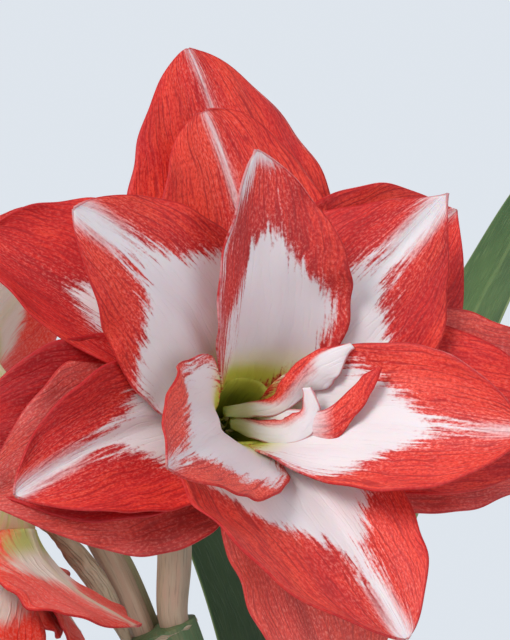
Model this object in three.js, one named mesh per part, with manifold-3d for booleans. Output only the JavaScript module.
// Potted amaryllis: a semi-double bulb plant with four blooms on one scape, strap leaves,
// a bulb half out of its soil and a plain round pot.
// Millimetres, +Z up, the front towards -Y, the origin under the middle of the pot's base.
import * as THREE from "three";
import { mergeVertices } from "three/addons/utils/BufferGeometryUtils.js";
import Module from "manifold-3d";

const wasm = await Module();
wasm.setup();

// Driving dimensions
const GAP = 0.3;
const ROUND = 30;
const POT = {
  height: 140,
  topRadius: 79,
  footRadius: 57,
  wall: 6,
  floor: 8,
  bandHeight: 26,
  bandProud: 4,
};
const SOIL = { top: 119, mound: 5, lump: 1.2 };
const BULB = { bottom: 78, neckTop: 184, cupFloor: 170, cupRadius: 27.8, rib: 0.7, ribs: 6 };
const SCAPE = { baseRadius: 13.4, topRadius: 13.2, top: [-5.5, 0, 427.5], tilt: 19, sides: 16 };
const PEDICEL_SIDES = 10;
const LEAF = { baseCircle: 21, rows: 11, columns: 4, rootThickness: 3.4, tipThickness: 1.4 };
const BLADE_THICKNESS = 0.9;
const PETAL_STEPS = 100;

const matter = (color, roughness) => new THREE.MeshStandardMaterial({ color, roughness, metalness: 0 });
const MATERIALS = {
  clay: matter("#b9714c", 0.85),
  soil: matter("#3a2a20", 0.95),
  bulb: matter("#8a5a33", 0.7),
  scape: matter("#6f8f3a", 0.5),
  pedicel: matter("#a58f6c", 0.6),
  bract: matter("#b59b78", 0.8),
  petal: matter("#c8281c", 0.5),
  leaf: matter("#3f6a2c", 0.45),
};

const plant = new THREE.Group();

const vec = (x, y, z) => new THREE.Vector3(x, y, z);
const radians = THREE.MathUtils.degToRad;
const lerp = THREE.MathUtils.lerp;
const clamp01 = (x) => THREE.MathUtils.clamp(x, 0, 1);
const smooth = (x) => THREE.MathUtils.smoothstep(x, 0, 1);

function addPiece(name, geometry, material) {
  const mesh = new THREE.Mesh(geometry, material);
  mesh.name = name;
  plant.add(mesh);
}

// Closed meshes as solids, and back
function solidOf(geometry) {
  const bare = new THREE.BufferGeometry().setAttribute("position", geometry.getAttribute("position"));
  bare.setIndex(geometry.getIndex());
  const merged = mergeVertices(bare, 1e-4);
  return new wasm.Manifold(
    new wasm.Mesh({
      numProp: 3,
      vertProperties: merged.getAttribute("position").array,
      triVerts: new Uint32Array(merged.getIndex().array),
    }),
  );
}

function geometryOf(solid) {
  const mesh = solid.getMesh();
  const geometry = new THREE.BufferGeometry();
  geometry.setAttribute("position", new THREE.BufferAttribute(mesh.vertProperties, 3));
  geometry.setIndex(new THREE.BufferAttribute(mesh.triVerts, 1));
  geometry.computeVertexNormals();
  return geometry;
}

// One solid of many, with the small hollows that its pieces close off between them filled
function fused(geometries) {
  const whole = geometries.map(solidOf).reduce((sum, piece) => sum.add(piece));
  return whole.decompose().reduce((largest, body) => (body.volume() > largest.volume() ? body : largest));
}

// A turned solid standing on Z, from [radius, height] points
function turned(profile, segments) {
  const points = profile.map(([r, z]) => new THREE.Vector2(r, z));
  return new THREE.LatheGeometry(points, segments).rotateX(Math.PI / 2);
}

// A closed blade between two point grids of one size, split into triangles alike on both faces
function bladeGeometry(outside, inside) {
  const rows = outside.length;
  const columns = outside[0].length;
  const positions = [outside, inside].flat(2).flatMap((p) => [p.x, p.y, p.z]);
  const at = (face, i, j) => (face * rows + i) * columns + j;
  const index = [];
  const wall = (i0, j0, i1, j1) => {
    const [a, b] = [at(0, i0, j0), at(0, i1, j1)];
    const [c, d] = [at(1, i1, j1), at(1, i0, j0)];
    index.push(a, b, c, a, c, d);
  };
  for (let i = 0; i < rows - 1; i++) {
    for (let j = 0; j < columns - 1; j++) {
      for (const [face, order] of [[0, [0, 1, 2, 0, 2, 3]], [1, [0, 2, 1, 0, 3, 2]]]) {
        const corners = [at(face, i, j), at(face, i, j + 1), at(face, i + 1, j + 1), at(face, i + 1, j)];
        index.push(...order.map((k) => corners[k]));
      }
    }
    wall(i, 0, i + 1, 0);
    wall(i + 1, columns - 1, i, columns - 1);
  }
  for (let j = 0; j < columns - 1; j++) {
    wall(0, j + 1, 0, j);
    wall(rows - 1, j, rows - 1, j + 1);
  }
  const geometry = new THREE.BufferGeometry();
  geometry.setAttribute("position", new THREE.Float32BufferAttribute(positions, 3));
  geometry.setIndex(index);
  return geometry;
}

// A blade of even or tapering thickness on both sides of one grid of points
function thickened(grid, thicknessAt) {
  const last = grid.length - 1;
  const lastColumn = grid[0].length - 1;
  const faces = [-1, 1].map((side) =>
    grid.map((row, i) =>
      row.map((p, j) => {
        const along = grid[Math.min(i + 1, last)][j].clone().sub(grid[Math.max(i - 1, 0)][j]);
        const across = row[Math.min(j + 1, lastColumn)].clone().sub(row[Math.max(j - 1, 0)]);
        const normal = along.cross(across).normalize();
        return p.clone().addScaledVector(normal, (side * thicknessAt(i / last)) / 2);
      }),
    ),
  );
  return bladeGeometry(faces[0], faces[1]);
}

// A round stem of changing radius along a smooth curve, with flat ends
function stemGeometry(points, radii, sides, steps) {
  const curve = new THREE.CatmullRomCurve3(points.map((p) => vec(...p)), false, "centripetal");
  const frames = curve.computeFrenetFrames(steps, false);
  const positions = [];
  const index = [];
  for (let i = 0; i <= steps; i++) {
    const u = i / steps;
    const centre = curve.getPointAt(u);
    const place = u * (radii.length - 1);
    const k = Math.min(Math.floor(place), radii.length - 2);
    const radius = lerp(radii[k], radii[k + 1], smooth(place - k));
    for (let j = 0; j < sides; j++) {
      const angle = (2 * Math.PI * j) / sides;
      const p = centre
        .clone()
        .addScaledVector(frames.normals[i], radius * Math.cos(angle))
        .addScaledVector(frames.binormals[i], radius * Math.sin(angle));
      positions.push(p.x, p.y, p.z);
    }
  }
  const at = (i, j) => i * sides + (j % sides);
  for (let i = 0; i < steps; i++) {
    for (let j = 0; j < sides; j++) {
      index.push(at(i, j), at(i, j + 1), at(i + 1, j + 1), at(i, j), at(i + 1, j + 1), at(i + 1, j));
    }
  }
  for (let j = 1; j < sides - 1; j++) {
    index.push(at(0, 0), at(0, j + 1), at(0, j), at(steps, 0), at(steps, j), at(steps, j + 1));
  }
  const geometry = new THREE.BufferGeometry();
  geometry.setAttribute("position", new THREE.Float32BufferAttribute(positions, 3));
  geometry.setIndex(index);
  return geometry;
}

// Pot: a plain tapered pot with a band round its rim
function makePot() {
  const { height, topRadius, footRadius, wall, floor, bandHeight, bandProud } = POT;
  const bandFoot = height - bandHeight;
  const side = (z) => lerp(footRadius, topRadius - bandProud, z / height);
  const profile = [
    [0, 0],
    [footRadius - 2, 0],
    [footRadius, 2],
    [side(bandFoot), bandFoot],
    [side(bandFoot) + bandProud, bandFoot + 2],
    [topRadius, height - 2.5],
    [topRadius - 1.5, height],
    [topRadius - bandProud - wall + 1.5, height],
    [side(height) - wall, height - 2],
    [side(floor) - wall, floor],
    [0, floor],
  ];
  addPiece("pot", turned(profile, ROUND), MATERIALS.clay);
}
const potInside = (z) => lerp(POT.footRadius, POT.topRadius - POT.bandProud, z / POT.height) - POT.wall;

// Bulb: half its height stands out of the soil, and its neck is open for the scape and the leaves
const BULB_PROFILE = [
  [17, BULB.bottom],
  [31, 86],
  [42, 98],
  [47, 112],
  [47.5, 124],
  [44, 138],
  [38, 152],
  [33.5, 164],
  [31.5, 174],
];
function makeBulb() {
  const profile = [
    [0, BULB.bottom],
    ...BULB_PROFILE,
    [31, BULB.neckTop],
    [BULB.cupRadius + 1, BULB.neckTop],
    [BULB.cupRadius, BULB.neckTop - 3],
    [BULB.cupRadius, BULB.cupFloor],
    [0, BULB.cupFloor],
  ];
  const geometry = turned(profile, ROUND);
  const position = geometry.getAttribute("position");
  for (let i = 0; i < position.count; i++) {
    const p = vec().fromBufferAttribute(position, i);
    const radius = Math.hypot(p.x, p.y);
    if (radius < BULB.cupRadius + 2) continue;
    const angle = Math.atan2(p.y, p.x);
    const shown = smooth((p.z - SOIL.top - SOIL.mound) / 12);
    const scale = 1 + (shown * BULB.rib * Math.sin(BULB.ribs * angle)) / radius;
    position.setXY(i, p.x * scale, p.y * scale);
  }
  addPiece("bulb", geometry, MATERIALS.bulb);
}

// Soil: fills the pot below its rim, with a plain hole of the bulb's own shape
function makeSoil() {
  const { top, mound, lump } = SOIL;
  const bottom = POT.floor + GAP;
  const collar = [49, 58, 66, potInside(top) - 4];
  const hole = BULB_PROFILE.filter(([, z]) => z < top + mound).map(([r, z]) => [r + GAP, z - GAP]);
  const profile = [
    [0, bottom],
    [potInside(bottom) - GAP, bottom],
    [potInside(top) - GAP, top],
    ...collar.toReversed().map((r, k) => [r, top + (mound * (k + 1)) / (collar.length + 1)]),
    [BULB_PROFILE[4][0] + GAP, top + mound],
    ...hole.toReversed(),
    [0, BULB.bottom - GAP],
  ];
  const geometry = turned(profile, ROUND);
  const position = geometry.getAttribute("position");
  for (let i = 0; i < position.count; i++) {
    const p = vec().fromBufferAttribute(position, i);
    const radius = Math.hypot(p.x, p.y);
    const onTop = p.z > top - 1 && radius > 48.5 && radius < potInside(top) - 3;
    if (!onTop) continue;
    position.setZ(i, p.z + lump * Math.sin(p.x * 0.35) * Math.cos(p.y * 0.31 + radius));
  }
  addPiece("soil", geometry, MATERIALS.soil);
}

// The scape's top: its centre, and a point on its sloping ring from distances right and back
const SCAPE_END = vec(...SCAPE.top);
const RING_NORMAL = vec(-Math.sin(radians(SCAPE.tilt)), 0, Math.cos(radians(SCAPE.tilt)));
const RING_RIGHT = vec(Math.cos(radians(SCAPE.tilt)), 0, Math.sin(radians(SCAPE.tilt)));
const ringPoint = (right, back, up = 0) =>
  SCAPE_END.clone()
    .addScaledVector(RING_RIGHT, right)
    .addScaledVector(RING_NORMAL, up)
    .add(vec(0, back, 0));

// Blooms: each has its throat's place, its axis, its tube and its petals.
// A petal starts r0 from the axis and z0 along it, opens from f0 to f1 degrees, and is L long and W wide;
// tm is where it is widest, tip how pointed it is, g0 and g1 its cupping, a its angle round the axis,
// bend its sideways curve, roll its tilt, and lw and rw scale its clockwise and anticlockwise halves.
const PETAL = {
  L: 90, W: 60, tm: 0.45, base: 0.26, tip: 0.8, f0: 16, f1: 70, fk: 0.42, bend: 0, r0: 11, z0: -2,
  g0: 65, g1: 20, roll: 0, ruffle: 1.2, waves: 2.5, phase: 0, lw: 1, rw: 1,
};
const OUTER = { f0: 30, fk: 0.35, r0: 13, z0: -7, g0: 55 };
const THIRD = { f0: 22, fk: 0.4, r0: 12, z0: -5, g0: 60 };
const SECOND = { f0: 16, fk: 0.45, r0: 11, z0: -2.5, g0: 65 };
const INNER = { f0: 8, fk: 0.5, r0: 10, z0: 0, g0: 70 };

const HERO_PETALS = [
  { ...OUTER, a: 81, L: 102, W: 76, f1: 92, g1: -8, tm: 0.42, tip: 0.68, bend: 27, roll: 12, lw: 0.9 },
  { ...OUTER, a: 146, L: 87, W: 62, f1: 94, g1: 36, tm: 0.58, tip: 0.7, bend: 1, roll: 6, rw: 0.6 },
  { ...OUTER, a: 188, L: 89, W: 60, f1: 98, g1: 35, tm: 0.42, tip: 0.9, roll: 3, lw: 0.95, rw: 1.1 },
  { ...OUTER, a: 198, L: 85, W: 62, f1: 88, g1: 5, tm: 0.36, tip: 1.1, rw: 1.1 },
  { ...OUTER, a: 276, L: 84, W: 60, f1: 84, g1: 16, tm: 0.52, tip: 0.5, bend: 2, roll: -5, lw: 0.7 },
  { ...OUTER, a: 354, L: 96, W: 65, f1: 102, g1: 17, tm: 0.42, tip: 0.45, bend: 5, roll: 10 },
  { ...OUTER, a: 44, L: 90, W: 66, f1: 99, g1: 30, tm: 0.49, tip: 1.05, bend: -9, roll: 8, lw: 1.04, rw: 0.94 },
  { ...THIRD, a: 79, L: 81, W: 61, f1: 80, g1: 0, tm: 0.42, tip: 0.5, bend: 27, roll: 14 },
  { ...THIRD, a: 349, L: 88, W: 60, f1: 88, g1: 22, tm: 0.52, tip: 0.65, bend: 3, roll: -10 },
  { ...THIRD, a: 188, L: 80, W: 57, f1: 83, g1: 36, tm: 0.4, tip: 0.75, bend: 18, roll: 1, lw: 0.76 },
  { ...SECOND, a: 123, L: 85, W: 57, f1: 61, g1: -8, tm: 0.3, tip: 0.75, bend: 25, roll: 3, lw: 0.94 },
  { ...SECOND, a: 39, L: 87, W: 66, f1: 85, g1: -10, tm: 0.4, tip: 1.25, bend: 5, roll: 3, lw: 0.97, rw: 0.93 },
  { ...SECOND, a: 290, L: 92, W: 68, f1: 74, g1: 44, tm: 0.43, tip: 0.7, bend: -4, roll: -8, lw: 1.5, rw: 0.7 },
  { ...INNER, a: 107, L: 81, W: 52, f1: 56, g1: 26, tm: 0.37, bend: -12, roll: 1, lw: 1.32, rw: 0.42 },
  { ...INNER, a: 328, L: 90, W: 52, f1: 60, g1: 42, tm: 0.58, tip: 0.97, bend: 12, roll: 10, rw: 0.92 },
  { ...INNER, a: 220, L: 91, W: 50, f1: 45, g1: 16, tm: 0.34, tip: 0.82, bend: -4, roll: -9, lw: 0.92 },
];

// Narrow inner blades of the front bloom, one station after another from its throat outwards:
// [right, towards the viewer, up], the left and right half widths, and the direction across the blade
const HERO_BLADES = [
  [
    { at: [-5, -9, -1], halves: [1.5, 1.5], across: [0.2, 0.3, -1] },
    { at: [3, 0, 1], halves: [2, 2.5], across: [0.2, 0.3, -1] },
    { at: [10, 9, 3], halves: [2.6, 3], across: [0.4, 0.3, -0.9] },
    { at: [15, 16, 9], halves: [3.4, 5], across: [0.9, 0.1, -0.5] },
    { at: [18.5, 19, 14], halves: [3.2, 9], across: [0.8, 0.3, -0.55] },
    { at: [23, 22, 18.5], halves: [2, 8], across: [0.6, 0.3, -0.8] },
    { at: [32.5, 25, 22.5], halves: [0.6, 1.5], across: [0.6, 0.2, -0.8] },
  ],
  [
    { at: [-3, -9, -4], halves: [2, 2], across: [0, 0.5, -1] },
    { at: [4, 3, -5], halves: [3.6, 3], across: [0, 0.6, -0.8] },
    { at: [12, 14, -5], halves: [5.6, 3.6], across: [0.1, 0.6, -0.8] },
    { at: [18, 20, -2], halves: [5, 4], across: [0.7, 0.4, -0.6] },
    { at: [21.5, 22, 3], halves: [3.5, 2.2], across: [0.9, 0.3, -0.1] },
    { at: [19.5, 22, 9.5], halves: [1.4, 1.4], across: [0.9, 0.3, 0.1] },
  ],
  [
    { at: [2, -8, -1], halves: [2.5, 2.5], across: [0.2, -0.3, -1] },
    { at: [9, 5, -2], halves: [3.5, 3.5], across: [0.2, 0.2, -1] },
    { at: [17, 16, -2], halves: [4.5, 4], across: [0.2, 0.2, -0.9] },
    { at: [26, 26, -1], halves: [4.6, 4.2], across: [0.35, 0.2, -0.9] },
    { at: [32.5, 29, 5], halves: [3.8, 2.8], across: [0.5, 0.2, -0.8] },
    { at: [37, 31, 11], halves: [3, 2], across: [0.7, 0.3, -0.7] },
    { at: [40.5, 32, 16.5], halves: [0.7, 0.7], across: [0.7, 0.2, -0.7] },
  ],
];

// A bloom of rings of three petals, each ring [style, first angle, length, width, opening], a little uneven
// and shorter on its crowded side
const RING_PETALS = 3;
function ringedPetals({ rings, seed, crowded }) {
  return rings.flatMap(([style, first, length, width, opening], ring) =>
    Array.from({ length: RING_PETALS }, (_, k) => {
      const wave = Math.sin(seed + 2.4 * k + 1.7 * ring);
      const turn = Math.cos(seed * 1.3 + 3.1 * k + ring);
      const angle = first + (360 / RING_PETALS) * k + 5 * turn;
      const facing = Math.max(0, Math.cos(radians(angle - crowded.angle)));
      return {
        ...style,
        a: angle,
        L: (length + 3 * wave) * (1 - crowded.loss * facing ** 3),
        W: width + 4 * turn,
        bend: 7 * turn,
        roll: 5 * wave,
        f1: opening + 3 * turn,
        g1: 18 + 12 * wave,
        tip: 0.75 + 0.12 * turn,
        phase: 0.3 * k,
      };
    }),
  );
}

const BLOOMS = [
  {
    name: "front",
    throat: [22.6, -89.6, 511.2],
    axis: [0.29, -0.887, 0.363],
    tube: 40,
    petals: HERO_PETALS,
    blades: HERO_BLADES,
    mesh: [6, 4],
  },
  {
    name: "left",
    throat: [-58, -40, 466],
    axis: [-0.33, -0.02, -0.94],
    tube: 32,
    petals: ringedPetals({
      rings: [
        [OUTER, 60, 68, 60, 90],
        [THIRD, 0, 76, 52, 66],
        [SECOND, 30, 66, 42, 54],
        [INNER, 90, 58, 36, 40],
      ],
      seed: 1.2,
      crowded: { angle: 262, loss: 0.48 },
    }),
  },
  {
    name: "back_left",
    throat: [-80, 52, 512],
    axis: [-0.72, 0.62, 0.32],
    tube: 38,
    petals: ringedPetals({
      rings: [
        [OUTER, 20, 88, 60, 90],
        [THIRD, 80, 84, 56, 78],
        [SECOND, 45, 76, 46, 64],
        [INNER, 105, 66, 42, 46],
      ],
      seed: 2.6,
      crowded: { angle: 180, loss: 0.16 },
    }),
  },
  {
    name: "back_right",
    throat: [30, 84, 501],
    axis: [0.26, 0.88, 0.38],
    tube: 36,
    petals: ringedPetals({
      rings: [
        [OUTER, 0, 68, 54, 80],
        [THIRD, 60, 70, 50, 68],
        [SECOND, 30, 64, 42, 56],
        [INNER, 90, 56, 36, 42],
      ],
      seed: 4.1,
      crowded: { angle: 212, loss: 0.42 },
    }),
  },
];

// Axes round a bloom's own axis: two across it and the axis itself
function bloomFrame(axis) {
  const w = vec(...axis).normalize();
  const e1 = vec(0, 0, 1).cross(w).normalize();
  return [e1, w.clone().cross(e1), w];
}

// The petal's midrib: its distance from the axis and its height along it, at every step
function midrib(p) {
  const step = p.L / PETAL_STEPS;
  const opened = (t) => (1 - Math.exp(-t / p.fk)) / (1 - Math.exp(-1 / p.fk));
  const line = [{ r: p.r0, z: p.z0 }];
  for (let k = 0; k < PETAL_STEPS; k++) {
    const angle = radians(lerp(p.f0, p.f1, opened((k + 0.5) / PETAL_STEPS)));
    line.push({ r: line[k].r + step * Math.sin(angle), z: line[k].z + step * Math.cos(angle) });
  }
  return line;
}

const chord = (x) => (Math.abs(x) < 1e-6 ? 1 : Math.sin(x) / x);

// A grid of points over a petal, in its bloom's own axes
function petalGrid(given, rows, columns) {
  const p = { ...PETAL, ...given };
  const line = midrib(p);
  const grid = [];
  for (let i = 0; i <= rows; i++) {
    const t = 0.985 * Math.pow(i / rows, 0.9);
    const k = Math.min(Math.floor(t * PETAL_STEPS), PETAL_STEPS - 1);
    const [from, to] = [line[k], line[k + 1]];
    const part = t * PETAL_STEPS - k;
    const place = vec(lerp(from.r, to.r, part), p.bend * t * t, lerp(from.z, to.z, part));
    const along = vec(to.r - from.r, (2 * p.bend * t) / PETAL_STEPS, to.z - from.z).normalize();
    const across = vec(0, 1, 0).addScaledVector(along, -along.y).normalize();
    const inward = along.clone().cross(across);
    const roll = radians(p.roll);
    const side = across.clone().multiplyScalar(Math.cos(roll)).addScaledVector(inward, Math.sin(roll));
    const face = inward.clone().multiplyScalar(Math.cos(roll)).addScaledVector(across, -Math.sin(roll));
    const grow = p.base + (1 - p.base) * Math.sin((Math.PI / 2) * clamp01(t / p.tm));
    const shrink = Math.pow(1 - clamp01((t - p.tm) / (1 - p.tm)) ** 2, p.tip);
    const halfWidth = (p.W / 2) * (t < p.tm ? grow : shrink);
    const cup = radians(lerp(p.g0, p.g1, smooth(t / 0.5)));
    const row = [];
    for (let j = 0; j <= columns; j++) {
      const s = (2 * j) / columns - 1;
      const h = halfWidth * (s < 0 ? p.lw : p.rw);
      const arc = s * cup;
      const wave = Math.sin(2 * Math.PI * (p.waves * t + p.phase + 0.23 * Math.sign(s)));
      const reach = smooth(t / 0.3) * (1 - 0.7 * smooth((t - 0.85) / 0.15));
      const ruffle = p.ruffle * Math.abs(s) ** 3 * wave * reach;
      const x = h * s * chord(arc);
      const y = (h * cup * s * s * chord(arc / 2) ** 2) / 2 + ruffle;
      row.push(place.clone().addScaledVector(side, x).addScaledVector(face, y));
    }
    grid.push(row);
  }
  const turn = radians(p.a);
  return grid.map((row) => row.map((q) => q.applyAxisAngle(vec(0, 0, 1), turn)));
}

// The funnel that joins the petals' bases into a tube, hollow down to its narrow end
function tubeGeometry(length) {
  const profile = [
    [0, -length],
    [5.6, -length],
    [6.4, -0.7 * length],
    [10, -0.35 * length],
    [13.6, -8],
    [14, -3],
    [13, 0],
    [9.6, 0.5],
    [8, -0.3 * length],
    [4.4, -0.6 * length],
    [2.5, -0.85 * length],
    [0, -0.85 * length],
  ];
  return turned(profile, 15);
}

// A blade through its stations, which are in the viewer's directions from the throat
function freeBlade(stations, throat, rows) {
  const toWorld = ([x, y, z]) => vec(x, -y, z);
  const curve = new THREE.CatmullRomCurve3(stations.map(({ at }) => toWorld(at)), false, "centripetal");
  const grid = [];
  for (let i = 0; i <= rows; i++) {
    const place = (i / rows) * (stations.length - 1);
    const k = Math.min(Math.floor(place), stations.length - 2);
    const [from, to] = [stations[k], stations[k + 1]];
    const between = (key) => from[key].map((value, n) => lerp(value, to[key][n], place - k));
    const centre = curve.getPoint(i / rows).add(throat);
    const wide = toWorld(between("across")).normalize();
    const [left, right] = between("halves");
    grid.push([-left, 0, right].map((d) => centre.clone().addScaledVector(wide, d)));
  }
  return thickened(grid, () => BLADE_THICKNESS);
}

function makeBloom({ name, throat, axis, tube, petals, blades = [], mesh = [5, 3] }) {
  const frame = new THREE.Matrix4().makeBasis(...bloomFrame(axis)).setPosition(...throat);
  const turnedPieces = [
    tubeGeometry(tube),
    ...petals.map((petal) => thickened(petalGrid(petal, ...mesh), () => BLADE_THICKNESS)),
  ];
  const whole = fused([
    ...turnedPieces.map((piece) => piece.applyMatrix4(frame)),
    ...blades.map((stations) => freeBlade(stations, vec(...throat), 10)),
  ]);
  addPiece(`bloom_${name}`, geometryOf(whole), MATERIALS.petal);
}

// Pedicels: from a socket in the scape's ring to the ovary that carries the bloom's tube
const OVARY = { length: 14, radius: 7.2, neck: 5.4 };
const PEDICELS = {
  front: {
    base: [6.2, -3.6],
    lean: [[0, -6, 452], [1, -20, 474]],
    radii: [4.8, 5.6, 5.8, 5.4],
  },
  left: {
    base: [-5.6, -1.2],
    lean: [[-19, -2, 446], [-31, -9, 472], [-36, -20, 497], [-39, -30, 513]],
    radii: [4.2, 4.4, 4.5, 4.5],
  },
  back_left: {
    base: [-4.4, 7.2],
    lean: [[-18, 15, 444], [-30, 24, 464]],
    radii: [4.2, 4.4, 4.6, 4.6],
  },
  back_right: {
    base: [5.6, 6.4],
    lean: [[0, 16, 448], [4, 28, 470]],
    radii: [4.2, 4.4, 4.6, 4.6],
  },
};

function pedicelPath({ throat, axis, tube }, { base, lean }) {
  const w = vec(...axis).normalize();
  const back = (distance) => vec(...throat).addScaledVector(w, -distance).toArray();
  const foot = ringPoint(base[0], base[1], -5).toArray();
  const sill = ringPoint(base[0], base[1], 3).toArray();
  return [foot, sill, ...lean, back(tube + GAP + OVARY.length + 4), back(tube + GAP + OVARY.length)];
}

function makePedicel(bloom) {
  const { name, throat, axis, tube } = bloom;
  const { radii } = PEDICELS[name];
  const w = vec(...axis).normalize();
  const path = pedicelPath(bloom, PEDICELS[name]);
  const ovaryPath = [0, 0.3, 0.6, 1].map((u) =>
    vec(...throat).addScaledVector(w, -(tube + GAP + (1 - u) * (OVARY.length + 2))).toArray(),
  );
  const swelling = [radii.at(-1), OVARY.radius, OVARY.radius, OVARY.neck];
  const ovary = stemGeometry(ovaryPath, swelling, PEDICEL_SIDES, 5);
  const stem = stemGeometry(path, radii, PEDICEL_SIDES, 9);
  addPiece(`pedicel_${name}`, geometryOf(fused([stem, ovary])), MATERIALS.pedicel);
}

// Scape: a thick round stem that leans left at its top, with a socket for each pedicel
const SCAPE_PATH = [
  [2, 0, BULB.cupFloor + GAP],
  [2, 0, BULB.neckTop + 6],
  [8, 1, 240],
  [14, 3, 310],
  [9, 3, 375],
  SCAPE_END.clone().addScaledVector(RING_NORMAL, -12).toArray(),
  SCAPE.top,
];
function makeScape() {
  const { baseRadius, topRadius, sides } = SCAPE;
  let body = solidOf(stemGeometry(SCAPE_PATH, [baseRadius, 13, 12.6, topRadius], sides, 14));
  for (const bloom of BLOOMS) {
    const { base } = PEDICELS[bloom.name];
    const radius = PEDICELS[bloom.name].radii[0] + 2 * GAP;
    const socket = [-5 - GAP, 6].map((up) => ringPoint(base[0], base[1], up).toArray());
    body = body.subtract(solidOf(stemGeometry(socket, [radius, radius], PEDICEL_SIDES, 1)));
  }
  addPiece("scape", geometryOf(body), MATERIALS.scape);
}

// Dried bracts below the umbel: one lies along the left pedicel, one hangs behind the scape
const BRACTS = {
  left: {
    root: ringPoint(-10.2, -7.8, 0.4),
    path: [[-25, -14, 446], [-35, -18, 459], [-44, -18, 466]],
    widths: [2.4, 5, 5, 1.2],
    width: [0.35, 0.1, 0.9],
    cup: 70,
  },
  back: {
    root: ringPoint(0.5, 14.3, -0.9),
    path: [[-2, 20, 429], [-1, 27, 418], [4, 30, 396], [8, 29, 376]],
    widths: [6, 7.5, 8, 6, 1.2],
    width: [1, 0, 0],
    cup: 45,
  },
};

// A strap along a curve: half widths along it, its width's direction, its cupping and its thickness
function strapGrid({ points, widths, width, endWidth = width, cup, endCup = cup }, rows, columns) {
  const curve = new THREE.CatmullRomCurve3(points.map((p) => vec(...p)), false, "centripetal");
  const grid = [];
  for (let i = 0; i <= rows; i++) {
    const u = i / rows;
    const centre = curve.getPointAt(u);
    const along = curve.getTangentAt(u);
    const wide = vec(...width).lerp(vec(...endWidth), u);
    wide.addScaledVector(along, -along.dot(wide)).normalize();
    const face = along.clone().cross(wide);
    const place = u * (widths.length - 1);
    const k = Math.min(Math.floor(place), widths.length - 2);
    const half = lerp(widths[k], widths[k + 1], smooth(place - k));
    const arc = radians(lerp(cup, endCup, smooth(u * 1.4)));
    const row = [];
    for (let j = 0; j <= columns; j++) {
      const s = (2 * j) / columns - 1;
      const x = half * s * chord(s * arc);
      const y = (half * arc * s * s * chord((s * arc) / 2) ** 2) / 2;
      row.push(centre.clone().addScaledVector(wide, x).addScaledVector(face, y));
    }
    grid.push(row);
  }
  return grid;
}

function makeBracts() {
  for (const [name, bract] of Object.entries(BRACTS)) {
    const points = [bract.root.toArray(), ...bract.path];
    const blade = thickened(strapGrid({ ...bract, points }, 7, 4), () => BLADE_THICKNESS);
    addPiece(`bract_${name}`, blade, MATERIALS.bract);
  }
}

// Leaves: straps that stand in the bulb's neck round the scape, each at its own angle, and arch out
const LEAVES = [
  {
    angle: -34,
    turn: -20,
    width: 36,
    path: [[62, -36, 300], [120, -60, 376], [184, -84, 392], [232, -100, 372]],
  },
  {
    angle: 30,
    turn: 40,
    width: 37,
    path: [[54, 18, 320], [69, 50, 440], [90, 65, 490], [116, 95, 541], [148, 118, 584], [196, 140, 598]],
  },
  {
    angle: 88,
    turn: 80,
    width: 38,
    path: [[8, 56, 300], [34, 76, 392], [18, 72, 446], [1, 66, 476], [-16, 63, 500]],
  },
  {
    angle: 146,
    turn: 160,
    width: 36,
    path: [[-46, 44, 280], [-92, 76, 352], [-142, 104, 392], [-190, 126, 396]],
  },
  {
    angle: 203,
    turn: 185,
    width: 38,
    path: [[-52, -18, 300], [-104, -22, 398], [-164, -22, 446], [-224, -18, 444]],
  },
  {
    angle: 262,
    turn: 240,
    width: 35,
    path: [[-22, -70, 268], [-50, -116, 330], [-84, -160, 352], [-118, -198, 336]],
  },
];
function makeLeaves() {
  LEAVES.forEach(({ angle, width, path, turn }, k) => {
    const outward = radians(angle);
    const foot = (height, reach) => [
      (LEAF.baseCircle + reach) * Math.cos(outward),
      (LEAF.baseCircle + reach) * Math.sin(outward),
      height,
    ];
    const sideways = (degrees) => [-Math.sin(radians(degrees)), Math.cos(radians(degrees)), 0];
    const half = width / 2;
    const roots = [foot(BULB.cupFloor + GAP, 0), foot(BULB.neckTop + 2, 0.1), foot(BULB.neckTop + 22, 2.4)];
    const strap = {
      points: [...roots, ...path],
      widths: [7.6, 0.55 * half, 0.85 * half, half, half, 0.97 * half, 0.8 * half, 2.2],
      width: sideways(angle),
      endWidth: sideways(turn),
      cup: 24,
      endCup: 14,
    };
    const thickness = (u) => lerp(LEAF.rootThickness, LEAF.tipThickness, u);
    const blade = thickened(strapGrid(strap, LEAF.rows, LEAF.columns), thickness);
    addPiece(`leaf_${k + 1}`, blade, MATERIALS.leaf);
  });
}

makePot();
makeSoil();
makeBulb();
makeScape();
for (const bloom of BLOOMS) {
  makePedicel(bloom);
  makeBloom(bloom);
}
makeBracts();
makeLeaves();

export default plant;
